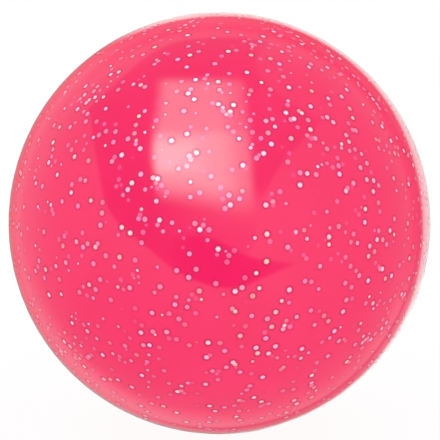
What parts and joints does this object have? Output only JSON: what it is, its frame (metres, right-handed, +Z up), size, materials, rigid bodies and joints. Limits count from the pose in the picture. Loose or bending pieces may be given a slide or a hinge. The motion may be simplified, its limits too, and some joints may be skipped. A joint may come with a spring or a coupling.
{
  "type": "hockey ball",
  "caption": "Smooth round field hockey ball: a twine-wound cork core in a lapped pink shell, under a glossy glitter skin, for play on turf.",
  "frame": {"origin": "centre of the ball", "axes": "+Z up through the centres of the two cups, square to their lapped seam; -Y towards the camera, through the centre of the front skin; +X to the right"},
  "size_m": [0.073, 0.073, 0.073],
  "materials": {
    "cork_and_rubber": "matte",
    "twine": "matte",
    "pink_pvc": "gloss",
    "glitter_pvc": "polished"
  },
  "bodies": {
    "root": {"cork_core": "cork_and_rubber", "twine_winding": "twine", "upper_cup": "pink_pvc", "lower_cup": "pink_pvc", "front_skin": "glitter_pvc", "back_skin": "glitter_pvc"}
  },
  "joints": []
}
